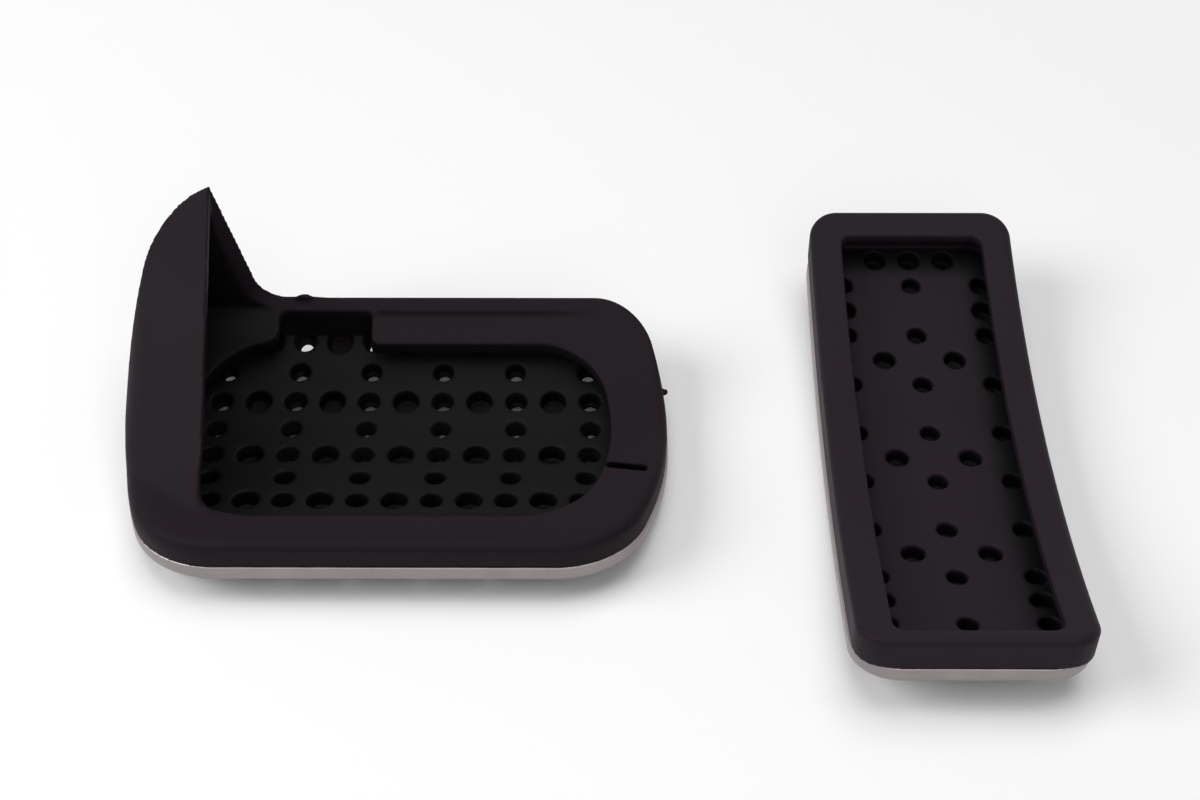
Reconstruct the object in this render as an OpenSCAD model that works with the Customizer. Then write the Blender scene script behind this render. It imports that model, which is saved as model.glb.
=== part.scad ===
// Pair of slip-on pedal covers lying on their faces, backs up, in millimetres.
// A wide brake cover with a hood at one end lies left of a long accelerator cover.
// Each cover is a moulded rubber boot pressed into a thin metal face plate with a turned-up edge.

/* [Pair] */
// Clear space between the two covers
pair_gap = 36.6; // [5:0.1:120]
// How far the brake cover lies toward the viewer of the accelerator's middle
brake_back = 0.8; // [-40:0.1:40]
// Film of adhesive between rubber and metal
bond = 0.05; // [0.02:0.01:0.3]
// Height that the rubber studs stand out of the metal faces
stud_proud = 1.0; // [0.4:0.1:3]

/* [Face plates] */
// Sheet thickness of both face plates
sheet = 1.0; // [0.5:0.1:2]
// Height of the turned-up edge above the rubber floor
edge_rise = 0.6; // [-1:0.1:3]

/* [Brake outline] */
// Width across the bowed ends
brake_width = 126.6; // [100:0.2:170]
// Depth from the near edge to the far edge
brake_depth = 78.4; // [60:0.2:100]
// Radius of the bowed ends
brake_bow = 85; // [60:1:200]
// Widest line of the bow, from the middle of the depth
brake_bow_y = 5; // [-10:0.5:10]
// Radius of the two far corners
brake_far_corner = 15; // [8:0.5:25]
// Radius of the two near corners
brake_near_corner = 22; // [8:0.5:28]

/* [Brake section] */
// Radius of the curved part of the rubber floor
brake_floor_radius = 67.9; // [50:0.1:150]
// Lowest line of the floor, from the middle of the depth
brake_low_y = 6.0; // [-10:0.1:15]
// Angle at which the flat near part leaves the curve
brake_flat_angle = 9.1; // [3:0.1:20]
// Thickness of the rubber floor
floor_rubber = 3.0; // [2:0.1:5]
// Height of the lip's top above the floor
brake_lip_top = 7.7; // [5:0.1:15]
// Thickness of the overhanging lip
lip_rubber = 2.5; // [1.5:0.1:4]
// Thickness of the rubber wall around the pedal pocket
wall_rubber = 3.5; // [2:0.1:6]

/* [Brake opening] */
// Width of the opening inside the lip
open_width = 99.4; // [70:0.2:120]
// Far edge of the opening, from the middle of the depth
open_far = 28.1; // [15:0.1:33]
// Near edge of the opening, from the middle of the depth
open_near = -28.6; // [-33:0.1:-15]
// Radius of the opening's bowed ends
open_bow = 60; // [45:1:120]
// Radius of the opening's far corners
open_far_corner = 17; // [5:0.5:22]
// Radius of the opening's near corners
open_near_corner = 20; // [5:0.5:24]
// Left side of the notch in the far lip
notch_left = -31; // [-40:0.1:-20]
// Right side of the notch in the far lip
notch_right = -8.5; // [-18:0.1:10]
// Rounding of the lip's corner beside the notch
notch_round = 3.5; // [1:0.1:6]
// Rounding inside the notch
notch_inner = 1.6; // [0.5:0.1:3]
// Length of the relief slit in the right lip
slit_length = 9; // [4:0.1:12]
// Width of the relief slit
slit_width = 1.4; // [0.8:0.1:3]
// Place of the slit along the depth
slit_y = -9.8; // [-20:0.1:10]
// Lean of the slit toward the near edge
slit_lean = 8; // [0:1:20]
// Length of the shallow step along the far lip
step_length = 56; // [30:0.5:70]
// Depth of the shallow step along the far lip
lip_step = 0.4; // [0.1:0.1:1]

/* [Brake hood] */
// Thickness of the hood's rubber
hood_rubber = 2.8; // [1.5:0.1:4]
// Height of the hood's crest over the table at the far wall
hood_far_top = 57; // [35:0.1:70]
// Height over the table where the crest runs out at the near end
hood_near_top = 17.1; // [14:0.1:25]
// Depth position where the crest runs out
hood_near_y = -26.8; // [-36:0.1:-10]
// Distance of the hood's free edge from the middle of the cover
hood_mouth = 43.5; // [35:0.1:52]
// Turn of the hood's free edge away from the depth direction
hood_turn = 2; // [0:0.5:8]
// Fall of the hood's roof toward the end of the cover
hood_tilt = 26; // [5:1:35]
// Radius of the hood's shoulder
hood_shoulder = 11; // [6:0.5:16]
// Fillet where the hood's far wall runs down to the rim
hood_fillet = 11; // [5:0.5:14]
// Skew of the ribbon edge along the hood's far wall
hood_skew = 38; // [0:1:50]
// Lean of the ribbon edge, in the skew section square to it
ribbon_lean = 30.6; // [24:0.1:36]
// Distance of the ribbon section from the middle of the cover
ribbon_x = 40.9; // [36:0.1:44]
// Height over the table at which the ribbon passes that distance
ribbon_mid = 31; // [26:0.5:45]
// Height over the table where the ribbon's fillet runs out on the rim
ribbon_foot = 22.5; // [21.5:0.1:24]
// Fall of the ribbon's foot toward the opening, along the rim
ribbon_fall = 31; // [24:1:36]
// Distance from the middle of the cover at which the ribbon is gone
ribbon_end = 20; // [12:0.5:26]

/* [Brake grip pattern] */
// Column pitch of the holes
brake_pitch = 9.0; // [8:0.1:10]
// Row pitch of the holes along the floor
brake_row = 8.38; // [7.4:0.01:9]
// Drawing-in of the columns, three rows away from the middle row
brake_pinch = 0.0475; // [0:0.0005:0.08]
// Bore of the large studs, closed at the tip
stud_bore = 6.2; // [4:0.1:7]
// Diameter of the large studs
stud_dia = 7.4; // [5:0.1:8]
// Hole through the open studs in the rows of large studs
mid_hole = 5.2; // [3:0.1:6]
// Hole through the open studs in the rows between
small_hole = 4.8; // [3:0.1:6]

/* [Accelerator] */
// Width of the accelerator cover
accel_width = 51.4; // [40:0.2:70]
// Length of the accelerator cover
accel_length = 139.3; // [100:0.1:200]
// Corner radius of the boot
accel_corner = 7; // [4:0.5:12]
// Radius of the curved rubber floor
accel_floor_radius = 251.8; // [150:0.2:600]
// Height of the lip's top above the floor
accel_lip_top = 9.3; // [6:0.1:14]
// Width of the lip's opening
accel_open_width = 35.4; // [25:0.1:45]
// Far end of the opening, from the middle
accel_open_far = 61.4; // [45:0.1:66]
// Near end of the opening, from the middle
accel_open_near = -65.2; // [-66:0.1:-45]
// Corner radius of the opening
accel_open_corner = 2.5; // [1:0.1:6]
// Thickness of the rubber wall around the pocket
accel_wall = 3.0; // [2:0.1:5]
// Half pitch of the studs along the cover
accel_row = 7.84; // [6:0.01:10]
// Half pitch of the studs across the cover
accel_col = 8.72; // [6:0.01:11]
// Offset of the stud pattern from the middle
accel_pattern = 0.6; // [-3:0.1:3]
// Bore of the larger hollow studs
accel_big_bore = 5.4; // [3:0.1:6]
// Bore of the smaller hollow studs
accel_small_bore = 4.8; // [3:0.1:6]
// Rubber around a stud's bore
stud_wall = 0.7; // [0.4:0.1:1.5]
// How far the plate's corners are rounder than the boot's
accel_plate_corner = 2.5; // [0:0.1:5]

/* [Hidden] */
$fn = 96;
total_width = brake_width + pair_gap + accel_width;
brake_x = (brake_width - total_width) / 2;
accel_x = (total_width - accel_width) / 2;
half_w = brake_width / 2;
half_d = brake_depth / 2;
// Depth of a stud tip below the floor surface
tip_drop = floor_rubber + sheet + stud_proud;
// Angle of the pattern's middle row up the curve, and of the stud row next to the table
row_angle = 3.54;
rest_angle = row_angle - brake_row / brake_floor_radius * 180 / PI;
brake_axis_z = (brake_floor_radius + tip_drop) * cos(rest_angle) + stud_dia / 2 * sin(-rest_angle);
accel_axis_z = accel_floor_radius + tip_drop;
// Rubber clear of the plate's turned edge
nest = sheet + bond;
reveal = 0.3;
deg = 180 / PI;
// Makes joining arcs cross by a hair instead of just touching
ease = 0.03;
hood_slope = atan((hood_far_top - hood_near_top) / (half_d - hood_near_y));
hood_centre = -half_w + hood_shoulder;
hood_centre_z = (hood_centre + hood_mouth) * tan(hood_tilt) - hood_shoulder / cos(hood_tilt);
// Lengths that reach past the whole brake cover
over_width = 1.3 * brake_width;
over_depth = 2 * brake_depth;
over_height = hood_far_top + 4.5;

// Centre of a corner arc that touches a bowed end from inside
function corner_x(w, bow, bow_y, r, y) = w - bow + sqrt(pow(bow - r, 2) - pow(y - bow_y, 2));

// Plan with straight far and near edges and bowed ends, drawn in by an inset on every side
module bowed_plan(w, far, near, bow, bow_y, rf, rn, inset) {
    yf = far - rf;
    yn = near + rn;
    xf = corner_x(w, bow, bow_y, rf, yf);
    xn = corner_x(w, bow, bow_y, rn, yn);
    cx = w - bow;
    kf = (bow - inset) / (bow - rf);
    kn = (bow - inset) / (bow - rn);
    qf = [cx + kf * (xf - cx), bow_y + kf * (yf - bow_y)];
    qn = [cx + kn * (xn - cx), bow_y + kn * (yn - bow_y)];
    polygon([[xf, far - inset], [-xf, far - inset], [-qf[0], qf[1]], [-qn[0], qn[1]],
        [-xn, near + inset], [xn, near + inset], qn, qf]);
    for (side = [-1, 1]) {
        far_ray = [side * (2 * qf[0] - cx), 2 * qf[1] - bow_y];
        near_ray = [side * (2 * qn[0] - cx), 2 * qn[1] - bow_y];
        translate([side * xf, yf]) circle(r = rf - inset + ease);
        translate([side * xn, yn]) circle(r = rn - inset + ease);
        intersection() {
            translate([side * cx, bow_y]) circle(r = bow - inset);
            polygon([[side * cx, bow_y], side > 0 ? near_ray : far_ray, side > 0 ? far_ray : near_ray]);
        }
    }
}

// Brake outline drawn in by an inset
module brake_plan(inset) {
    bowed_plan(half_w, half_d, -half_d, brake_bow, brake_bow_y, brake_far_corner, brake_near_corner, inset);
}

// Section of the room above the floor raised by a height: a curve running into a flat near part
module floor_section(h, over) {
    r = brake_floor_radius - h;
    circle(r = r);
    rotate(-brake_flat_angle) translate([-over_width, 2 * ease - r]) square([over_width, r + over]);
}

// Stands a section of the brake cover up and runs it along the width
module along_width() {
    rotate([90, 0, 90]) linear_extrude(height = over_width, center = true)
        translate([brake_low_y, brake_axis_z]) children();
}

// Everything above the brake floor raised by a height
module brake_above(h) {
    along_width() floor_section(h, 0);
}

// Layer of the brake cover between two heights over the floor, inside an inset outline
module brake_layer(low, high, inset) {
    intersection() {
        linear_extrude(height = over_height) brake_plan(inset);
        along_width() difference() {
            floor_section(low, 0);
            floor_section(high, 9);
        }
    }
}

// Puts children on the brake floor, square to it, at a column and a row of the pattern
module on_brake(column, row) {
    t = (row - 3) / 3;
    u = (column - 5) * brake_pitch * (1 - brake_pinch * t * t);
    a = row_angle + (3 - row) * brake_row / brake_floor_radius * deg;
    beyond = min(0, (a + brake_flat_angle) / deg * brake_floor_radius);
    translate([u, brake_low_y, brake_axis_z]) rotate([max(a, -brake_flat_angle), 0, 0])
        translate([0, beyond, -brake_floor_radius]) children();
}

// Round pin or bore on the local axis between two heights over the floor
module post(d, low, high) {
    translate([0, 0, low]) cylinder(d = d, h = high - low);
}

// Large closed studs of the brake pattern, between two heights
module brake_big(d, low, high) {
    for (r = [0:2:8], c = [1:2:9]) on_brake(c, r) post(d, low, high);
}

// Open studs in the rows of large studs
module brake_mid(d, low, high) {
    for (r = [0:2:8], c = [0:2:10]) on_brake(c, r) post(d, low, high);
}

// Open studs in the rows between
module brake_small(d, low, high) {
    for (r = [1:2:7], c = [0:2:10]) on_brake(c, r) post(d, low, high);
}

// Sloping roof shape of the hood, drawn in by a wall thickness: a tilted top rolling into the end wall
module hood_roof(inset) {
    r = hood_shoulder - inset;
    touch = [hood_centre - r * sin(hood_tilt), hood_centre_z + r * cos(hood_tilt)];
    translate([0, half_d, hood_far_top]) rotate([hood_slope, 0, 0]) rotate([90, 0, 0])
        linear_extrude(height = 3 * over_depth, center = true) {
            translate([hood_centre, hood_centre_z]) circle(r = r + ease);
            translate([hood_centre - r, -over_depth]) square([r, over_depth + hood_centre_z]);
            polygon([[hood_centre, -over_depth], [0, -over_depth], [0, touch[1] - touch[0] * tan(hood_tilt)],
                touch, [hood_centre, hood_centre_z]]);
        }
}

// Body of the hood, left of a limit that may be turned away from the depth direction
module hood_body(limit, turn) {
    intersection() {
        linear_extrude(height = over_height) brake_plan(reveal);
        hood_roof(0);
        brake_above(brake_lip_top - 0.5);
        translate([-limit, half_d, 0]) rotate([0, 0, turn]) translate([-over_width, -over_depth, 0])
            cube([over_width, 2 * over_depth, 2 * over_height]);
    }
}

// Space to the right of the ribbon edge, running skew through the far wall and down along the rim
module hood_cutter() {
    f = hood_fillet;
    mid = ribbon_mid - ribbon_foot;
    cw = f / cos(ribbon_lean) - (f - mid) * tan(ribbon_lean);
    translate([-ribbon_x, half_d, ribbon_foot]) rotate([ribbon_fall, 0, 0]) rotate([0, 0, -hood_skew])
        rotate([90, 0, 0]) linear_extrude(height = brake_depth, center = true) {
            translate([cw, f]) circle(r = f + ease);
            polygon([[cw, f], [cw, 0], [half_w, 0], [half_w, 2 * over_height],
                [-(2 * over_height - mid) * tan(ribbon_lean), 2 * over_height],
                [cw - f * cos(ribbon_lean), f - f * sin(ribbon_lean)]]);
        }
}

// Hood shell: skin and shoulder at the end, and the far wall running down to the rim
module hood() {
    difference() {
        union() {
            hood_body(hood_mouth, hood_turn);
            difference() {
                hood_body(ribbon_end, 0);
                hood_cutter();
                translate([-hood_mouth, -over_depth, 0])
                    cube([half_w, over_depth + half_d - reveal - wall_rubber, 2 * over_height]);
            }
        }
        intersection() {
            linear_extrude(height = over_height) brake_plan(reveal + hood_rubber);
            hood_roof(hood_rubber);
            brake_above(brake_lip_top);
        }
    }
}

// Notch in the far lip: rounded inside, with the lip's two corners beside it rounded off
module notch_plan() {
    back = half_d - wall_rubber - 0.15;
    r = notch_inner;
    near = open_far - notch_round;
    translate([notch_left, near]) square([notch_right - notch_left, back - r - near]);
    translate([notch_left + r, near]) square([notch_right - notch_left - 2 * r, back - near]);
    for (x = [notch_left + r, notch_right - r]) translate([x, back - r]) circle(r = r + ease);
    difference() {
        translate([notch_left - notch_round, near]) square([notch_round + r, 2 * notch_round]);
        translate([notch_left - notch_round, open_far + notch_round]) circle(r = notch_round - ease);
    }
    difference() {
        translate([notch_right - r, near]) square([2 * r, notch_round + r]);
        translate([notch_right + r, open_far + r]) circle(r = r - ease);
    }
}

// Pocket under the lip, the opening through the lip, the notch, the slit and the shallow step
module brake_pocket() {
    brake_layer(0, brake_lip_top - lip_rubber, wall_rubber);
    intersection() {
        linear_extrude(height = over_height)
            bowed_plan(open_width / 2, open_far, open_near, open_bow, 3, open_far_corner, open_near_corner, 0);
        along_width() difference() {
            floor_section(0, 0);
            floor_section(brake_lip_top + 0.4, 9);
        }
    }
    intersection() {
        linear_extrude(height = over_height) notch_plan();
        brake_above(0);
    }
    intersection() {
        translate([open_width / 2 - 1.5, slit_y, 0]) rotate([0, 0, -slit_lean]) translate([0, -slit_width / 2, 0])
            cube([slit_length + 1, slit_width, over_height]);
        brake_above(1);
    }
    intersection() {
        translate([notch_right - 1, open_far - notch_round, 0])
            cube([step_length, half_d - wall_rubber - 0.8 - open_far + notch_round, over_height]);
        brake_above(brake_lip_top - lip_step);
    }
}

// Brake boot: one rubber moulding with lip, pocket, hood, hollow studs and open holes
module brake_boot() {
    color([0.12, 0.11, 0.12]) translate([brake_x, -brake_back, 0]) difference() {
        union() {
            brake_layer(edge_rise + bond, brake_lip_top, reveal);
            brake_layer(bond - floor_rubber, edge_rise + 2, nest);
            hood();
            brake_big(stud_dia, -tip_drop, 1 - floor_rubber);
            brake_mid(mid_hole + 2 * stud_wall, -tip_drop, 1 - floor_rubber);
            brake_small(small_hole + 2 * stud_wall, -tip_drop, 1 - floor_rubber);
        }
        brake_pocket();
        brake_big(stud_bore, -tip_drop + 0.8, 0.6);
        brake_mid(mid_hole, -tip_drop - 1, 0.6);
        brake_small(small_hole, -tip_drop - 1, 0.6);
    }
}

// Brake plate: thin sheet following the face, with a turned-up edge and punched holes
module brake_plate() {
    color([0.75, 0.74, 0.74]) translate([brake_x, -brake_back, 0]) difference() {
        brake_layer(-floor_rubber - sheet, edge_rise, 0);
        brake_layer(-floor_rubber, edge_rise + 2, sheet);
        brake_big(stud_dia + 2 * bond, -tip_drop, 0);
        brake_mid(mid_hole + 2 * stud_wall + 2 * bond, -tip_drop, 0);
        brake_small(small_hole + 2 * stud_wall + 2 * bond, -tip_drop, 0);
    }
}

// Rounded rectangle about the middle of the accelerator, drawn in by an inset
module accel_plan(inset, corner) {
    w = accel_width / 2 - inset;
    l = accel_length / 2 - inset;
    square([2 * w, 2 * (l - corner)], center = true);
    square([2 * (w - corner), 2 * l], center = true);
    for (x = [-1, 1], y = [-1, 1]) translate([x * (w - corner), y * (l - corner)]) circle(r = corner);
}

// Everything above the accelerator floor raised by a height
module accel_above(h) {
    translate([0, 0, accel_axis_z]) rotate([0, 90, 0])
        cylinder(r = accel_floor_radius - h, h = 100, center = true, $fn = 720);
}

// Layer of the accelerator between two heights over the floor, inside an inset outline
module accel_layer(low, high, inset, corner) {
    intersection() {
        linear_extrude(height = 80) accel_plan(inset, corner);
        difference() {
            accel_above(low);
            accel_above(high);
        }
    }
}

// Puts children on the accelerator floor, square to it, in half pitches from the far centre stud
module on_accel(across, along) {
    s = (7 - along) * accel_row + accel_pattern;
    translate([across * accel_col + accel_pattern, 0, accel_axis_z]) rotate([s / accel_floor_radius * deg, 0, 0])
        translate([0, 0, -accel_floor_radius]) children();
}

// Small studs down the middle and along both sides, between two heights
module accel_small(d, low, high) {
    for (i = [0:2:14], c = [-2, 0, 2]) on_accel(c, i) post(d, low, high);
}

// Large studs: three pairs, a row of three at each end and four at the sides
module accel_big(d, low, high) {
    for (i = [3, 7, 11], c = [-1, 1]) on_accel(c, i) post(d, low, high);
    for (i = [-1, 15], c = [-1, 0, 1]) on_accel(c, i) post(d, low, high);
    for (i = [1, 13], c = [-2, 2]) on_accel(c, i) post(d, low, high);
}

// Accelerator boot: rubber tray with an overhanging lip and hollow studs through the face
module accelerator_boot() {
    color([0.13, 0.12, 0.13]) translate([accel_x, 0, 0]) difference() {
        union() {
            accel_layer(edge_rise + bond, accel_lip_top, reveal, accel_corner);
            accel_layer(bond - floor_rubber, edge_rise + 2, nest, accel_corner + accel_plate_corner);
            accel_small(accel_small_bore + 2 * stud_wall, -tip_drop, 1 - floor_rubber);
            accel_big(accel_big_bore + 2 * stud_wall, -tip_drop, 1 - floor_rubber);
        }
        accel_layer(0, accel_lip_top - lip_rubber, accel_wall, accel_corner);
        intersection() {
            translate([0, (accel_open_far + accel_open_near) / 2, 0]) linear_extrude(height = 80) {
                h = accel_open_far - accel_open_near;
                r = accel_open_corner;
                square([accel_open_width, h - 2 * r], center = true);
                square([accel_open_width - 2 * r, h], center = true);
                for (x = [-1, 1], y = [-1, 1]) translate([x * (accel_open_width / 2 - r), y * (h / 2 - r)])
                    circle(r = r);
            }
            accel_above(0);
        }
        accel_small(accel_small_bore, -tip_drop + 0.8, 0.6);
        accel_big(accel_big_bore, -tip_drop + 0.8, 0.6);
    }
}

// Accelerator plate: thin curved sheet with a turned-up edge and a hole for every stud
module accelerator_plate() {
    color([0.72, 0.7, 0.7]) translate([accel_x, 0, 0]) difference() {
        accel_layer(-floor_rubber - sheet, edge_rise, 0, accel_corner + accel_plate_corner + sheet);
        accel_layer(-floor_rubber, edge_rise + 2, sheet, accel_corner + accel_plate_corner);
        accel_small(accel_small_bore + 2 * stud_wall + 2 * bond, -tip_drop, 0);
        accel_big(accel_big_bore + 2 * stud_wall + 2 * bond, -tip_drop, 0);
    }
}

brake_boot();
brake_plate();
accelerator_boot();
accelerator_plate();
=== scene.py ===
import math

import bmesh
import bpy
import numpy as np
from mathutils import Matrix, Vector


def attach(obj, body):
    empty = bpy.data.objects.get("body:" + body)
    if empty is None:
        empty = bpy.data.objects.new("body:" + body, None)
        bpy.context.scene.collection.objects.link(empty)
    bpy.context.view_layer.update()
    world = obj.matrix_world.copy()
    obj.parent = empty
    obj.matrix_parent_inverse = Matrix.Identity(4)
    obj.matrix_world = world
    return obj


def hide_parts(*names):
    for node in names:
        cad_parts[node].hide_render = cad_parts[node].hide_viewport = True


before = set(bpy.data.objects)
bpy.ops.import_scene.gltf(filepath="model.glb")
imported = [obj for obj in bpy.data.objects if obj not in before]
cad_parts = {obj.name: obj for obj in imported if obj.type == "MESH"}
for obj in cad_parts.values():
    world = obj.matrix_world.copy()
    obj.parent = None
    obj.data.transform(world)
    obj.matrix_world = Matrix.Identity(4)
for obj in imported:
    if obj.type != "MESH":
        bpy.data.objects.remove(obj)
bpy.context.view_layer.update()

# Brake boot
# The real boot is one soft black rubber moulding, stretched over the pedal pad so that its lip grips
# the pad's back. It comes out of its mould with rounded edges, a fine matt grain and a little flash.


def add_tube(shell, sections, ring):
    """Adds a closed tube through a row of sections, which meets itself as a ring or has two end caps."""
    rims = [[shell.verts.new(corner) for corner in section] for section in sections]
    following = rims[1:] + rims[:1] if ring else rims[1:]
    for low, high in zip(rims, following):
        for i in range(len(low)):
            k = (i + 1) % len(low)
            shell.faces.new((low[i], low[k], high[k], high[i]))
    if not ring:
        shell.faces.new(rims[0][::-1])
        shell.faces.new(rims[-1])


def settle(piece):
    """Makes the modifiers of a piece into its own mesh."""
    bpy.context.view_layer.update()
    shaped = piece.evaluated_get(bpy.context.evaluated_depsgraph_get())
    made = bpy.data.meshes.new_from_object(shaped)
    made.name = piece.name
    piece.modifiers.clear()
    piece.data = made
    made.shade_smooth()


def even_skin(node, name, grain, passes, lumps=(), tubes=()):
    """Copies a CAD solid, with any lumps and tubes added, into a new piece with one fine and even skin."""
    same_place = 2e-6
    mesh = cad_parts[node].data.copy()
    mesh.name = name
    mesh.materials.clear()
    shell = bmesh.new()
    shell.from_mesh(mesh)
    bmesh.ops.remove_doubles(shell, verts=shell.verts, dist=same_place)
    for middle, radii in lumps:
        stretch = Matrix.LocRotScale(middle, None, radii)
        bmesh.ops.create_icosphere(shell, subdivisions=3, radius=1.0, matrix=stretch)
    for sections, ring in tubes:
        add_tube(shell, sections, ring)
    shell.to_mesh(mesh)
    shell.free()
    piece = bpy.data.objects.new(name, mesh)
    bpy.context.scene.collection.objects.link(piece)
    skin = piece.modifiers.new("skin", "REMESH")
    skin.mode = "VOXEL"
    skin.voxel_size = grain
    soft = piece.modifiers.new("soft_edges", "SMOOTH")
    soft.factor = 0.5
    soft.iterations = passes
    settle(piece)
    bpy.data.meshes.remove(mesh)
    return piece


def fewer_faces(piece, keep):
    """Thins out the faces where the skin is smooth."""
    thin = piece.modifiers.new("fewer_faces", "DECIMATE")
    thin.ratio = keep
    settle(piece)


def corners_of(piece):
    """Places of the mesh's points, one row each."""
    places = np.empty(len(piece.data.vertices) * 3)
    piece.data.vertices.foreach_get("co", places)
    return places.reshape(-1, 3)


def move_corners(piece, places):
    """Puts the mesh's points at new places."""
    piece.data.vertices.foreach_set("co", places.ravel())
    piece.data.update()


tiny = 1e-9


def roll_edge(piece, outline, floor, gap, level, facing, radius):
    """Rounds the edge that runs at one gap inside an outline and one level over a curved floor."""
    slack = 0.0004
    least_radius = 0.0002
    places = corners_of(piece)
    inside, inward = outline(places)
    height, upward = floor(places)
    along = inside - gap
    down = facing * (level - height)
    near = (along < radius) & (along > -slack) & (down < radius) & (down > -slack)
    near &= radius > least_radius
    reach = np.hypot(radius - along, radius - down)
    near &= reach > radius
    pull = np.where(near, 1 - radius / np.maximum(reach, tiny), 0)
    move_in = pull * (radius - along)
    move_up = -facing * pull * (radius - down)
    lean = np.sum(inward * upward, axis=1)
    share = 1 / (1 - lean ** 2)
    places += ((move_in - lean * move_up) * share)[:, None] * inward
    places += ((move_up - lean * move_in) * share)[:, None] * upward
    move_corners(piece, places)


def soften(piece, weight, passes):
    """Evens out the skin where the weight is above nought."""
    places = corners_of(piece)
    ends = np.empty(len(piece.data.edges) * 2, dtype=np.int64)
    piece.data.edges.foreach_get("vertices", ends)
    ends = ends.reshape(-1, 2)
    here = weight > 0
    ends = ends[here[ends].any(axis=1)]
    first, second = ends[:, 0], ends[:, 1]
    points = len(places)
    count = np.maximum(np.bincount(ends.ravel(), minlength=points), 1)[:, None]
    for _ in range(passes):
        total = np.stack([np.bincount(first, places[second, axis], points)
                          + np.bincount(second, places[first, axis], points) for axis in range(3)], axis=1)
        places[here] += 0.5 * weight[here, None] * (total / count - places)[here]
    move_corners(piece, places)


def ease_in(value, start, stop):
    """Nought up to a start, one from a stop on, and smooth between."""
    share = np.clip((value - start) / (stop - start), 0, 1)
    return share * share * (3 - 2 * share)


def ease_out(value, start, stop):
    """One up to a start, nought from a stop on, and smooth between."""
    return 1 - ease_in(value, start, stop)


def band(value, start, full, fading, gone):
    """One from full to fading, nought before start and after gone, and smooth between."""
    return ease_in(value, start, full) * ease_out(value, fading, gone)


brake_middle = (-0.0440, -0.0008)


def on_brake(places):
    """Where points lie on the brake cover: across from its middle, and in depth."""
    return places[:, 0] - brake_middle[0], places[:, 1] - brake_middle[1]


def brake_outline(places):
    """How far points lie inside the brake cover's bowed outline, and the way inward."""
    half_depth = 0.0392
    far_turn, far_radius = np.array((0.045615, 0.0242)), 0.015
    near_turn, near_radius = np.array((0.037259, -0.0172)), 0.022
    bow, bow_radius = np.array((-0.0217, 0.005)), 0.085
    across, depth = on_brake(places)
    width = np.abs(across)
    far_way = far_turn - bow
    near_way = near_turn - bow
    past_far = far_way[0] * (depth - far_turn[1]) > far_way[1] * (width - far_turn[0])
    past_near = near_way[0] * (depth - near_turn[1]) < near_way[1] * (width - near_turn[0])
    in_far = (width > far_turn[0]) & past_far
    in_near = (width > near_turn[0]) & past_near
    centre = np.where(in_far[:, None], far_turn, np.where(in_near[:, None], near_turn, bow))
    radius = np.where(in_far, far_radius, np.where(in_near, near_radius, bow_radius))
    spoke = np.stack([width, depth], axis=1) - centre
    length = np.maximum(np.hypot(spoke[:, 0], spoke[:, 1]), tiny)
    round_gap = radius - length
    straight_gap = half_depth - np.abs(depth)
    straight = ~in_far & ~in_near & (straight_gap < round_gap)
    gap = np.where(straight, straight_gap, round_gap)
    inward = np.zeros_like(places)
    inward[:, 0] = np.where(straight, 0, -np.sign(across) * spoke[:, 0] / length)
    inward[:, 1] = np.where(straight, -np.sign(depth), -spoke[:, 1] / length)
    return gap, inward


floor_radius = 0.0679
floor_axis_depth = 0.006
floor_axis_height = 0.07299
flat_turn = math.radians(9.1)


def brake_floor(places):
    """Height over the brake cover's floor, an arc that runs out flat on the near side, and the way up."""
    depth = on_brake(places)[1] - floor_axis_depth
    drop = places[:, 2] - floor_axis_height
    length = np.hypot(depth, drop)
    flat = np.arctan2(depth, -drop) < -flat_turn
    flat_height = depth * math.sin(flat_turn) + drop * math.cos(flat_turn) + floor_radius
    upward = np.zeros_like(places)
    upward[:, 1] = np.where(flat, math.sin(flat_turn), -depth / length)
    upward[:, 2] = np.where(flat, math.cos(flat_turn), -drop / length)
    return np.where(flat, flat_height, floor_radius - length), upward


def mark_painted_shade(piece, share):
    """Keeps at each point how much painted shade darkens the rubber: nought outside, a half in a pocket,
    one in a stud.
    """
    layer = piece.data.attributes.new("hollow", "FLOAT", "POINT")
    layer.data.foreach_set("value", share)


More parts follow.
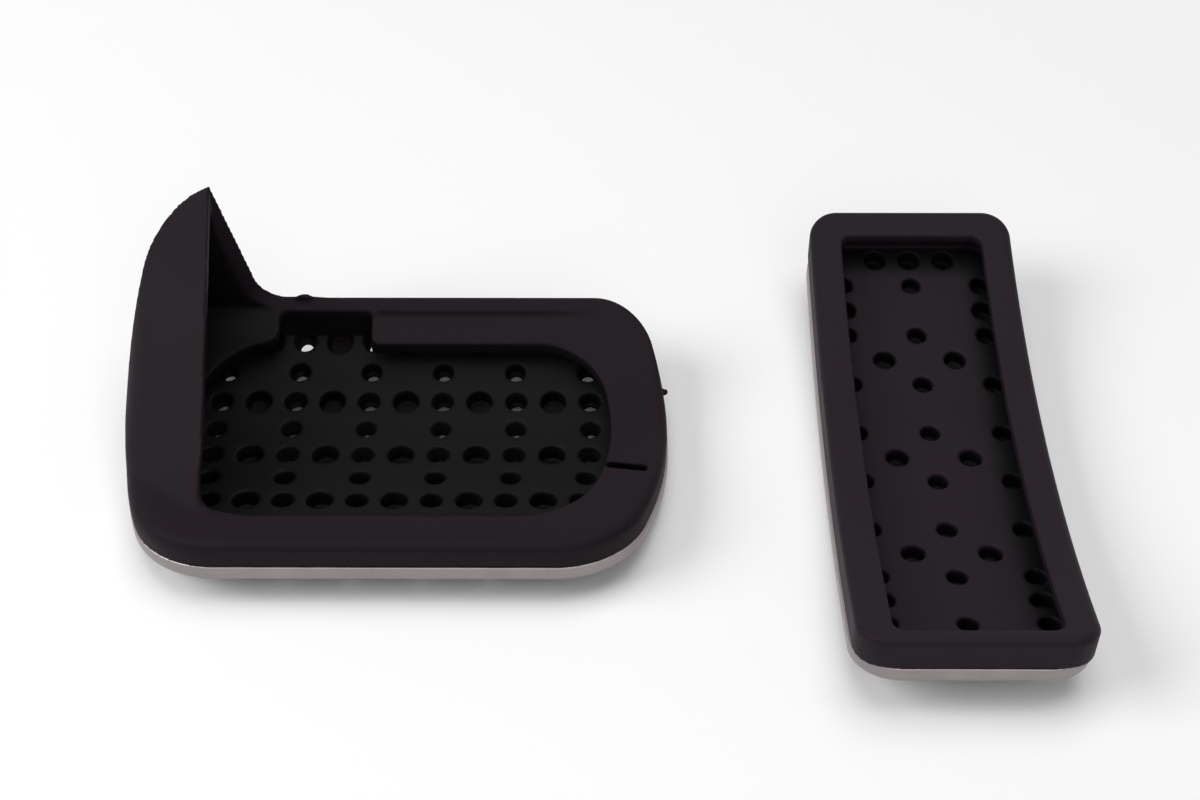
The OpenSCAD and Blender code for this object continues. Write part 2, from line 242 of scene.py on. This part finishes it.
def rubber_finish(name, dark, pale, dull, gloss):
    """Matt moulded rubber: fine grain, faint flow streaks from the mould, and painted shade that darkens it
    in the hollows.
    """
    # Painted shade: the tone is multiplied by the pocket tint where the hollow share is a half, and by the
    # stud tint where it is one.
    pocket_shade_tint = (0.44, 0.66, 0.46)
    stud_shade_tint = (0.13, 0.16, 0.13)
    dull_spread = 0.06
    finish = bpy.data.materials.new(name)
    finish.use_nodes = True
    tree = finish.node_tree
    shader = tree.nodes["Principled BSDF"]
    shader.inputs["Specular IOR Level"].default_value = gloss
    place = tree.nodes.new("ShaderNodeTexCoord")
    along = tree.nodes.new("ShaderNodeMapping")
    along.inputs["Scale"].default_value = (18.0, 55.0, 55.0)
    flow = tree.nodes.new("ShaderNodeTexNoise")
    flow.inputs["Scale"].default_value = 1.0
    flow.inputs["Detail"].default_value = 4.0
    flow.inputs["Roughness"].default_value = 0.55
    tone = tree.nodes.new("ShaderNodeValToRGB")
    tone.color_ramp.elements[0].position = 0.3
    tone.color_ramp.elements[0].color = (*dark, 1)
    tone.color_ramp.elements[1].position = 0.72
    tone.color_ramp.elements[1].color = (*pale, 1)
    tree.links.new(place.outputs["Object"], along.inputs["Vector"])
    tree.links.new(along.outputs["Vector"], flow.inputs["Vector"])
    tree.links.new(flow.outputs["Fac"], tone.inputs["Fac"])
    # Painted shade: the hollow share darkens the tone in the pocket, the studs, the hood and the undercut.
    hollow = tree.nodes.new("ShaderNodeAttribute")
    hollow.attribute_name = "hollow"
    shade_ramp = tree.nodes.new("ShaderNodeValToRGB")
    shade_ramp.color_ramp.elements[0].color = (1, 1, 1, 1)
    shade_ramp.color_ramp.elements[1].color = (*stud_shade_tint, 1)
    shade_ramp.color_ramp.elements.new(0.5).color = (*pocket_shade_tint, 1)
    blend = tree.nodes.new("ShaderNodeMix")
    blend.data_type = "RGBA"
    blend.blend_type = "MULTIPLY"
    blend.inputs["Factor"].default_value = 1.0
    tree.links.new(hollow.outputs["Fac"], shade_ramp.inputs["Fac"])
    tree.links.new(tone.outputs["Color"], blend.inputs["A"])
    tree.links.new(shade_ramp.outputs["Color"], blend.inputs["B"])
    tree.links.new(blend.outputs["Result"], shader.inputs["Base Color"])

    grain = tree.nodes.new("ShaderNodeTexNoise")
    grain.inputs["Scale"].default_value = 2400.0
    grain.inputs["Detail"].default_value = 2.0
    wave = tree.nodes.new("ShaderNodeTexNoise")
    wave.inputs["Scale"].default_value = 130.0
    wave.inputs["Detail"].default_value = 1.0
    shine = tree.nodes.new("ShaderNodeMapRange")
    shine.inputs["From Min"].default_value = 0.3
    shine.inputs["From Max"].default_value = 0.7
    shine.inputs["To Min"].default_value = dull - dull_spread
    shine.inputs["To Max"].default_value = dull + dull_spread
    fine = tree.nodes.new("ShaderNodeBump")
    fine.inputs["Strength"].default_value = 0.16
    fine.inputs["Distance"].default_value = 0.00012
    broad = tree.nodes.new("ShaderNodeBump")
    broad.inputs["Strength"].default_value = 0.12
    broad.inputs["Distance"].default_value = 0.0009
    tree.links.new(place.outputs["Object"], grain.inputs["Vector"])
    tree.links.new(place.outputs["Object"], wave.inputs["Vector"])
    tree.links.new(flow.outputs["Fac"], shine.inputs["Value"])
    tree.links.new(shine.outputs["Result"], shader.inputs["Roughness"])
    tree.links.new(wave.outputs["Fac"], broad.inputs["Height"])
    tree.links.new(grain.outputs["Fac"], fine.inputs["Height"])
    tree.links.new(broad.outputs["Normal"], fine.inputs["Normal"])
    tree.links.new(fine.outputs["Normal"], shader.inputs["Normal"])
    return finish


brake_place = Matrix.Translation((*brake_middle, 0))


def stud_tips():
    """Rings that narrow the open studs' holes at their tips, in rows along the floor's arc."""
    rows, columns = 9, 11
    middle_row, middle_column = 3, 5
    row_pitch = 0.00838
    column_pitch = 0.009
    narrowing = 0.0475
    middle_lift = math.radians(3.54)
    tip_radius = 0.0729
    ring_height = 0.0009
    hole = 0.0016
    near_shift, far_shift, shift_by_lift = 0.0007, -0.0008, 0.004
    steps = 32
    turns = [i * math.tau / steps for i in range(steps)]
    tips = []
    for row in range(rows):
        lift = middle_lift + (middle_row - row) * row_pitch / floor_radius
        beyond = min(0.0, (lift + flat_turn) * floor_radius)
        tilt = Matrix.Rotation(max(lift, -flat_turn), 4, "X")
        outer = 0.0030 if row % 2 == 0 else 0.0028
        shift = max(far_shift, near_shift - shift_by_lift * math.sin(max(0.0, lift)))
        squeeze = 1 - narrowing * ((row - middle_row) / middle_row) ** 2
        for column in range(0, columns, 2):
            across = (column - middle_column) * column_pitch * squeeze
            axis = brake_place @ Matrix.Translation((across, floor_axis_depth, floor_axis_height))
            tip = axis @ tilt @ Matrix.Translation((0, beyond, -tip_radius))
            ring = []
            for turn in turns:
                wide = (outer * math.cos(turn), outer * math.sin(turn))
                narrow = (hole * math.cos(turn), shift + hole * math.sin(turn))
                section = ((*wide, 0), (*wide, ring_height), (*narrow, ring_height), (*narrow, 0))
                ring.append([tip @ Vector(corner) for corner in section])
            tips.append(ring)
    return tips


def far_lip_bead():
    """Sections of the bead under the far lip, straight from the notch and then round the far corner."""
    corner_across, corner_depth, corner_radius = 0.0319, 0.0111, 0.017
    straight_length = 0.0404
    straight_steps, round_steps = 10, 30
    last_turn = math.radians(70)
    thin_turn = math.radians(80)
    lip_radius = 0.0627
    full_depth = 0.0016
    front, rear = 0.0001, 0.0022
    bite = 0.0005
    sections = []
    for i in range(straight_steps + round_steps + 1):
        turn = max(0.0, (i - straight_steps) / round_steps) * last_turn
        back_to_notch = straight_length * max(0, straight_steps - i) / straight_steps
        x = corner_across + corner_radius * math.sin(turn) - back_to_notch
        y = corner_depth + corner_radius * math.cos(turn)
        out = Vector((math.sin(turn), math.cos(turn)))
        low = full_depth * (1 - turn / thin_turn)
        section = []
        for back, drop in ((front, low), (rear, low), (rear, -bite), (front, -bite)):
            place = Vector((x, y)) + back * out
            lip = floor_axis_height - math.sqrt(lip_radius ** 2 - (place.y - floor_axis_depth) ** 2)
            section.append(brake_place @ Vector((place.x, place.y, lip - drop)))
        sections.append(section)
    return sections


slit_start = (0.0482, -0.0098)
slit_turn = math.radians(8)


def along_slit(across, depth):
    """How far points lie along the drain slit from its start, and off its middle line."""
    x = across - slit_start[0]
    y = depth - slit_start[1]
    run = x * math.cos(slit_turn) - y * math.sin(slit_turn)
    off = x * math.sin(slit_turn) + y * math.cos(slit_turn)
    return run, off


def along_step(across, depth, narrow):
    """Share of the line along the far lip's step, which fades out at its right end."""
    step_depth = 0.0349
    step_span = (-0.008, -0.006, 0.030, 0.048)
    broad = 0.0007
    return band(across, *step_span) * ease_out(np.abs(depth - step_depth), narrow, broad)


# Painted shade: the brake boot's tone is set darker than the accelerator's, though both are the same
# rubber.
brake_rubber = rubber_finish("brake_rubber", dark=(0.0080, 0.0049, 0.0072), pale=(0.0106, 0.0070, 0.0100),
                             dull=0.58, gloss=0.07)
flash_nub = (Vector((-0.0690, 0.0375, 0.0224)), Vector((0.0021, 0.0008, 0.0009)))
flash_spur = (Vector((0.0186, 0.0175, 0.0098)), Vector((0.0011, 0.0011, 0.0006)))
tubes = [(ring, True) for ring in stud_tips()] + [(far_lip_bead(), False)]
brake_boot = even_skin("brake_boot", "brake_rubber_boot", grain=0.00042, passes=5,
                       lumps=[flash_nub, flash_spur], tubes=tubes)

# The top edge is rounded less on the far side, and not at all where the hood stands on it.
reveal = 0.0003
brake_lip_top = 0.0077
near_roll, far_roll = 0.0024, 0.0010
far_side = (0.012, 0.030)
right_of_hood = (-0.027, -0.019)
before_hood = (-0.015, -0.003)
across, depth = on_brake(corners_of(brake_boot))
clear_of_hood = np.maximum(ease_in(across, *right_of_hood), ease_out(depth, *before_hood))
top_roll = near_roll - (near_roll - far_roll) * ease_in(depth, *far_side)
roll_edge(brake_boot, brake_outline, brake_floor, gap=reveal, level=brake_lip_top, facing=1,
          radius=top_roll * clear_of_hood)

# The bottom edge is rounded to lie in the bend of the metal face, a bond line away from it.
sheet = 0.001
bond = 0.00005
tread_level = -0.004
inner_bend = 0.0008
roll_edge(brake_boot, brake_outline, brake_floor, gap=sheet + bond, level=tread_level + sheet + bond,
          facing=-1, radius=inner_bend)

# The foot of the hood's free edge and the right end of the far lip's step run out softly.
foot_across, foot_depth = (-0.040, -0.034), (-0.0052, 0.0028)
foot_height = (0.0035, 0.0055, 0.012, 0.016)
step_end_across = (0.041, 0.044, 0.052, 0.055)
step_end_depth = (0.024, 0.027, 0.0345, 0.036)
step_height = (0.0066, 0.0070)
places = corners_of(brake_boot)
across, depth = on_brake(places)
height, upward = brake_floor(places)
foot = ease_out(across, *foot_across) * ease_out(depth, *foot_depth) * band(height, *foot_height)
soften(brake_boot, foot, passes=60)
step_end = band(across, *step_end_across) * band(depth, *step_end_depth) * ease_in(height, *step_height)
soften(brake_boot, step_end, passes=80)

# The slit stands a little open, and a shallow groove runs along the far lip's step.
slit_opening = 0.0005
slit_soft = 0.0002
slit_side = (0.0008, 0.0022)
slit_run = (0, 0.002, 0.0100, 0.0114)
slit_height = (0.0035, 0.0055)
groove_depth = 0.0005
groove_height = (0.0060, 0.0068)
places = corners_of(brake_boot)
run, off = along_slit(across, depth)
part = ease_out(np.abs(off), *slit_side) * band(run, *slit_run)
part *= slit_opening * ease_in(height, *slit_height) * off / (np.abs(off) + slit_soft)
places[:, 0] += part * math.sin(slit_turn)
places[:, 1] += part * math.cos(slit_turn)
groove = along_step(across, depth, narrow=0.0001) * ease_in(height, *groove_height)
places -= groove_depth * groove[:, None] * upward
move_corners(brake_boot, places)
fewer_faces(brake_boot, keep=0.31)
brake_boot.data.materials.append(brake_rubber)

# Shade is painted into the rubber's colour in the pocket and its studs, inside the hood, in the slit and
# along the groove.
past_wall = (0.0030, 0.0036)


def in_studs(height, gap):
    """Share of points down in the hollow studs, under the floor and inside the walls."""
    stud_depth = (0.0006, 0.0016, 0.0044, 0.0048)
    return band(-height, *stud_depth) * ease_in(gap, *past_wall)


lip_underside = (0.0046, 0.0054)
lip_front_side, lip_front_top = (0.3, 0.7), (0.0066, 0.0074)
places = corners_of(brake_boot)
facing = np.empty(len(places) * 3)
brake_boot.data.vertices.foreach_get("normal", facing)
facing = facing.reshape(-1, 3)
across, depth = on_brake(places)
height = brake_floor(places)[0]
gap, inward = brake_outline(places)
inner_side = np.sum(facing * inward, axis=1)
lip_front = ease_in(inner_side, *lip_front_side) * ease_out(height, *lip_front_top)
pocket = ease_in(gap, *past_wall) * np.maximum(ease_out(height, *lip_underside), lip_front)

# The hood's shadow is painted inside it: on the skin that looks in and not up, and the lip below, but not
# the wall's cut edge.
cut_lean, cut_fall, cut_skew = math.radians(30.6), math.radians(31), math.radians(-38)
cut_reach, far_wall = (0.0004, 0.0012), (0.0345, 0.0358)
skin_looks_in, skin_looks_up = (0.0, 0.3), (0.1, 0.3)
lip_gap, lip_over = (0.0028, 0.0036), (0.0080, 0.0090)
hood_across, hood_depth, hood_height = (-0.036, -0.029), (-0.004, 0.004), (0.0045, 0.0055)
cut_turn = Matrix.Rotation(cut_fall, 3, "X") @ Matrix.Rotation(cut_skew, 3, "Z")
cut_way = cut_turn @ Vector((math.cos(cut_lean), 0, math.sin(cut_lean)))
cut_place = brake_place @ Vector((-0.0409, 0.0348, 0.0298))
from_cut = np.abs((places - np.array(cut_place)) @ np.array(cut_way))
cut_edge = ease_out(from_cut, *cut_reach) * ease_in(depth, *far_wall)
looks_in = ease_in(inner_side, *skin_looks_in) * ease_out(facing[:, 2], *skin_looks_up)
on_lip = ease_in(gap, *lip_gap) * ease_out(height, *lip_over)
hood = ease_out(across, *hood_across) * ease_in(depth, *hood_depth) * ease_in(height, *hood_height)
hood *= np.maximum(looks_in, on_lip) * (1 - cut_edge)

# Shade is painted in the slit below its rim, and in the line along the step only near the lip's top.
slit_half_width = 0.0016
slit_from, slit_to = 0.0012, 0.0112
slit_bottom, slit_top = 0.0030, 0.0071
line_height = (0.0060, 0.0066)
run, off = along_slit(across, depth)
slit = (np.abs(off) < slit_half_width) & (run > slit_from) & (run < slit_to)
slit &= (height > slit_bottom) & (height < slit_top)
line = along_step(across, depth, narrow=0.0002) * ease_in(height, *line_height)
# Painted shade: how dark each of these places is painted.
pocket_shade, hood_shade, line_shade = 0.5, 0.92, 0.5
shade_shares = [pocket_shade * (pocket + in_studs(height, gap)), hood_shade * hood, slit, line_shade * line]
mark_painted_shade(brake_boot, np.maximum.reduce(shade_shares))
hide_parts("brake_boot")
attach(brake_boot, "root")

# Brake face plate
# The real plate is thin metal sheet, most likely stainless steel, punched with the grip holes and
# pressed to the pedal's curve. Its edge is turned up round the boot, whose studs stand through the
# holes, and the two are taken to be bonded.


def sheet_finish(name, metal, dull):
    """Satin stainless sheet: fine brushing across the width, and cloudier patches from handling."""
    cloud_share = 0.86
    dull_spread = 0.08
    finish = bpy.data.materials.new(name)
    finish.use_nodes = True
    tree = finish.node_tree
    shader = tree.nodes["Principled BSDF"]
    shader.inputs["Metallic"].default_value = 1.0
    place = tree.nodes.new("ShaderNodeTexCoord")
    brush = tree.nodes.new("ShaderNodeMapping")
    brush.inputs["Scale"].default_value = (60.0, 5200.0, 5200.0)
    lines = tree.nodes.new("ShaderNodeTexNoise")
    lines.inputs["Scale"].default_value = 1.0
    lines.inputs["Detail"].default_value = 3.0
    cloud = tree.nodes.new("ShaderNodeTexNoise")
    cloud.inputs["Scale"].default_value = 160.0
    cloud.inputs["Detail"].default_value = 3.0
    tone = tree.nodes.new("ShaderNodeValToRGB")
    tone.color_ramp.elements[0].position = 0.3
    tone.color_ramp.elements[0].color = (*[cloud_share * c for c in metal], 1)
    tone.color_ramp.elements[1].position = 0.7
    tone.color_ramp.elements[1].color = (*metal, 1)
    shine = tree.nodes.new("ShaderNodeMapRange")
    shine.inputs["From Min"].default_value = 0.3
    shine.inputs["From Max"].default_value = 0.7
    shine.inputs["To Min"].default_value = dull - dull_spread
    shine.inputs["To Max"].default_value = dull + dull_spread
    scratch = tree.nodes.new("ShaderNodeBump")
    scratch.inputs["Strength"].default_value = 0.12
    scratch.inputs["Distance"].default_value = 0.00005
    tree.links.new(place.outputs["Object"], brush.inputs["Vector"])
    tree.links.new(brush.outputs["Vector"], lines.inputs["Vector"])
    tree.links.new(place.outputs["Object"], cloud.inputs["Vector"])
    tree.links.new(cloud.outputs["Fac"], tone.inputs["Fac"])
    tree.links.new(tone.outputs["Color"], shader.inputs["Base Color"])
    tree.links.new(cloud.outputs["Fac"], shine.inputs["Value"])
    tree.links.new(shine.outputs["Result"], shader.inputs["Roughness"])
    tree.links.new(lines.outputs["Fac"], scratch.inputs["Height"])
    tree.links.new(scratch.outputs["Normal"], shader.inputs["Normal"])
    return finish


outer_bend = inner_bend + sheet
satin_sheet = sheet_finish("satin_sheet", metal=(0.30, 0.265, 0.268), dull=0.42)
brake_plate = even_skin("brake_plate", "brake_metal_face", grain=0.0003, passes=3)
roll_edge(brake_plate, brake_outline, brake_floor, gap=0.0, level=tread_level, facing=-1, radius=outer_bend)
roll_edge(brake_plate, brake_outline, brake_floor, gap=sheet, level=tread_level + sheet, facing=-1,
          radius=inner_bend)
fewer_faces(brake_plate, keep=0.3)
brake_plate.data.materials.append(satin_sheet)
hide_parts("brake_plate")
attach(brake_plate, "root")

# Accelerator boot
# The real boot is a long rubber tray with a lip turned in all round, moulded in the same black rubber.
# Its hollow studs stand out through the metal face, and their backs are the holes in the floor.
accelerator_middle = 0.0816
accelerator_half_width = 0.0257
accelerator_half_length = 0.06965
plate_corner = 0.0105


def accelerator_outline(inset, corner):
    """Makes the same measure for the accelerator cover's rounded oblong, drawn in by an inset."""
    def measure(places):
        across = places[:, 0] - accelerator_middle
        along = places[:, 1]
        over_x = np.abs(across) - (accelerator_half_width - inset - corner)
        over_y = np.abs(along) - (accelerator_half_length - inset - corner)
        bend = (over_x > 0) & (over_y > 0)
        length = np.maximum(np.hypot(over_x, over_y), tiny)
        gap = corner - np.where(bend, length, np.maximum(over_x, over_y))
        inward = np.zeros_like(places)
        inward[:, 0] = -np.sign(across) * np.where(bend, over_x / length, over_x >= over_y)
        inward[:, 1] = -np.sign(along) * np.where(bend, over_y / length, over_x < over_y)
        return gap, inward
    return measure


def accelerator_floor(places):
    """Height of points over the accelerator cover's long arc, and the way up."""
    arc_radius = 0.2518
    axis_height = 0.2568
    drop = places[:, 2] - axis_height
    length = np.hypot(places[:, 1], drop)
    upward = np.zeros_like(places)
    upward[:, 1] = -places[:, 1] / length
    upward[:, 2] = -drop / length
    return arc_radius - length, upward


accelerator_rubber = rubber_finish("accelerator_rubber", dark=(0.0106, 0.0069, 0.0104),
                                   pale=(0.0140, 0.0096, 0.0138), dull=0.55, gloss=0.08)
accelerator_boot = even_skin("accelerator_boot", "accelerator_rubber_boot", grain=0.00042, passes=5)
boot_corner = 0.007
nested_corner = plate_corner - sheet
accelerator_lip_top = 0.0093
accelerator_roll = 0.002
roll_edge(accelerator_boot, accelerator_outline(reveal, boot_corner), accelerator_floor, gap=0.0,
          level=accelerator_lip_top, facing=1, radius=accelerator_roll)
roll_edge(accelerator_boot, accelerator_outline(sheet + bond, nested_corner), accelerator_floor, gap=0.0,
          level=tread_level + sheet + bond, facing=-1, radius=inner_bend)
fewer_faces(accelerator_boot, keep=0.4)
accelerator_boot.data.materials.append(accelerator_rubber)

# Lines of points along the undercut keep its painted shade from spreading over the floor's long faces.
shell = bmesh.new()
shell.from_mesh(accelerator_boot.data)
line_insets = (0.0078, 0.0128)
for side in (-1, 1):
    for inset in line_insets:
        side_line = (accelerator_middle + side * (accelerator_half_width - inset), 0, 0)
        end_line = (0, side * (accelerator_half_length - inset), 0)
        for place, way in ((side_line, (1, 0, 0)), (end_line, (0, 1, 0))):
            whole = shell.verts[:] + shell.edges[:] + shell.faces[:]
            bmesh.ops.bisect_plane(shell, geom=whole, plane_co=place, plane_no=way)
bmesh.ops.triangulate(shell, faces=shell.faces)
shell.to_mesh(accelerator_boot.data)
shell.free()
# Painted shade: the floor under the lip and the studs' backs are darkened.
undercut = (*past_wall, 0.0076, 0.0130)
undercut_height = (0.0062, 0.0070)
undercut_shade = 0.7
places = corners_of(accelerator_boot)
height = accelerator_floor(places)[0]
gap = accelerator_outline(0.0, plate_corner)(places)[0]
under_lip = undercut_shade * band(gap, *undercut) * ease_out(height, *undercut_height)
mark_painted_shade(accelerator_boot, under_lip + (1 - under_lip) * in_studs(height, gap))
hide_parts("accelerator_boot")
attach(accelerator_boot, "root")

# Accelerator face plate
# The real plate is the same metal sheet, pressed to a long shallow curve with a turned-up edge.
# It is held by the studs that come through it and, most likely, by a bond to the rubber.
accelerator_plate = even_skin("accelerator_plate", "accelerator_metal_face", grain=0.0003, passes=3)
roll_edge(accelerator_plate, accelerator_outline(0.0, plate_corner), accelerator_floor, gap=0.0,
          level=tread_level, facing=-1, radius=outer_bend)
roll_edge(accelerator_plate, accelerator_outline(sheet, nested_corner), accelerator_floor, gap=0.0,
          level=tread_level + sheet, facing=-1, radius=inner_bend)
fewer_faces(accelerator_plate, keep=0.3)
accelerator_plate.data.materials.append(satin_sheet)
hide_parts("accelerator_plate")
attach(accelerator_plate, "root")

# Floor
# A pale sheet under the covers, lit to near white, which keeps their soft shadow. Away from them it
# fades, to the eye and in reflections alone, to the white of the room.


def seen_share(tree):
    """One for what the camera sees, also in a mirror or through glass, and nought for cast light."""
    ray = tree.nodes.new("ShaderNodeLightPath")
    mirrored = tree.nodes.new("ShaderNodeMath")
    mirrored.operation = "MAXIMUM"
    seen = tree.nodes.new("ShaderNodeMath")
    seen.operation = "MAXIMUM"
    tree.links.new(ray.outputs["Is Glossy Ray"], mirrored.inputs[0])
    tree.links.new(ray.outputs["Is Transmission Ray"], mirrored.inputs[1])
    tree.links.new(ray.outputs["Is Camera Ray"], seen.inputs[0])
    tree.links.new(mirrored.outputs["Value"], seen.inputs[1])
    return seen.outputs["Value"]


floor_reach = 3.0
floor_clearance = 0.0001
floor_mesh = bpy.data.meshes.new("floor")
floor_corners = [(floor_reach * x, floor_reach * y, 0) for x, y in ((-1, -1), (1, -1), (1, 1), (-1, 1))]
floor_mesh.from_pydata(floor_corners, [], [(0, 1, 2, 3)])
floor = bpy.data.objects.new("floor", floor_mesh)
bpy.context.scene.collection.objects.link(floor)
floor.location.z = -floor_clearance
pale = bpy.data.materials.new("pale_floor")
pale.use_nodes = True
tree = pale.node_tree
tree.nodes.clear()
out = tree.nodes.new("ShaderNodeOutputMaterial")
paint = tree.nodes.new("ShaderNodeBsdfDiffuse")
paint.inputs["Color"].default_value = (0.96, 0.96, 0.96, 1)
white = tree.nodes.new("ShaderNodeEmission")
spot = tree.nodes.new("ShaderNodeTexCoord")
away = tree.nodes.new("ShaderNodeVectorMath")
away.operation = "LENGTH"
fade = tree.nodes.new("ShaderNodeMapRange")
fade.interpolation_type = "SMOOTHSTEP"
fade.inputs["From Min"].default_value = 0.2
fade.inputs["From Max"].default_value = 0.5
share = tree.nodes.new("ShaderNodeMath")
share.operation = "MULTIPLY"
mix = tree.nodes.new("ShaderNodeMixShader")
tree.links.new(spot.outputs["Object"], away.inputs[0])
tree.links.new(away.outputs["Value"], fade.inputs["Value"])
tree.links.new(fade.outputs["Result"], share.inputs[0])
tree.links.new(seen_share(tree), share.inputs[1])
tree.links.new(share.outputs["Value"], mix.inputs["Fac"])
tree.links.new(paint.outputs["BSDF"], mix.inputs[1])
tree.links.new(white.outputs["Emission"], mix.inputs[2])
tree.links.new(mix.outputs["Shader"], out.inputs["Surface"])
floor_mesh.materials.append(pale)

# Studio light
# A soft panel overhead, one of about the same power at the left, and a weak one on the viewer's side.
# The room itself casts little light, but looks white to the eye and in reflections.
room = bpy.data.worlds.new("white_room")
bpy.context.scene.world = room
room.use_nodes = True
tree = room.node_tree
tree.nodes.clear()
out = tree.nodes.new("ShaderNodeOutputWorld")
air = tree.nodes.new("ShaderNodeBackground")
air.inputs["Color"].default_value = (1, 1, 1, 1)
level = tree.nodes.new("ShaderNodeMapRange")
level.inputs["To Min"].default_value = 0.2
level.inputs["To Max"].default_value = 1.0
tree.links.new(seen_share(tree), level.inputs["Value"])
tree.links.new(level.outputs["Result"], air.inputs["Strength"])
tree.links.new(air.outputs["Background"], out.inputs["Surface"])
lit_place = Vector((0, 0, 0.01))


def soft_panel(name, where, width, power):
    """One square light panel, facing the covers."""
    lamp = bpy.data.lights.new(name, "AREA")
    lamp.shape = "SQUARE"
    lamp.size = width
    lamp.energy = power
    holder = bpy.data.objects.new(name, lamp)
    bpy.context.scene.collection.objects.link(holder)
    holder.location = where
    holder.rotation_mode = "QUATERNION"
    holder.rotation_quaternion = (lit_place - Vector(where)).to_track_quat("-Z", "Y")


soft_panel("overhead_panel", where=(0.1, 0.05, 1.6), width=1.1, power=12.0)
soft_panel("left_panel", where=(-1.2, -0.3, 1.05), width=0.9, power=14.0)
soft_panel("viewer_panel", where=(0.2, -1.2, 1.0), width=1.0, power=4.0)

# Camera
# It looks down at the backs of the covers from the near side, as the photograph does.
# Its lens and place were worked out from the holes of both covers.
photo_width = 1200
focal_pixels = 1882.2
camera_place = Vector((0.00553, -0.30596, 0.32845))
look_down = math.radians(44.814)
look_aside = math.radians(0.427)
lean = math.radians(0.205)
aside = Matrix.Rotation(look_aside, 3, "Z")
ahead = aside @ Vector((0, math.cos(look_down), -math.sin(look_down)))
level_right = aside @ Vector((1, 0, 0))
level_up = level_right.cross(ahead)
right = math.cos(lean) * level_right - math.sin(lean) * level_up
up = math.sin(lean) * level_right + math.cos(lean) * level_up
eye = bpy.data.cameras.new("photo_camera")
eye.sensor_width = 36.0
eye.lens = eye.sensor_width * focal_pixels / photo_width
eye.clip_start = 0.01
camera = bpy.data.objects.new("photo_camera", eye)
bpy.context.scene.collection.objects.link(camera)
camera_turn = Matrix((right, up, -ahead)).transposed().to_4x4()
camera.matrix_world = Matrix.Translation(camera_place) @ camera_turn
bpy.context.scene.camera = camera
bpy.context.scene.view_settings.view_transform = "Standard"
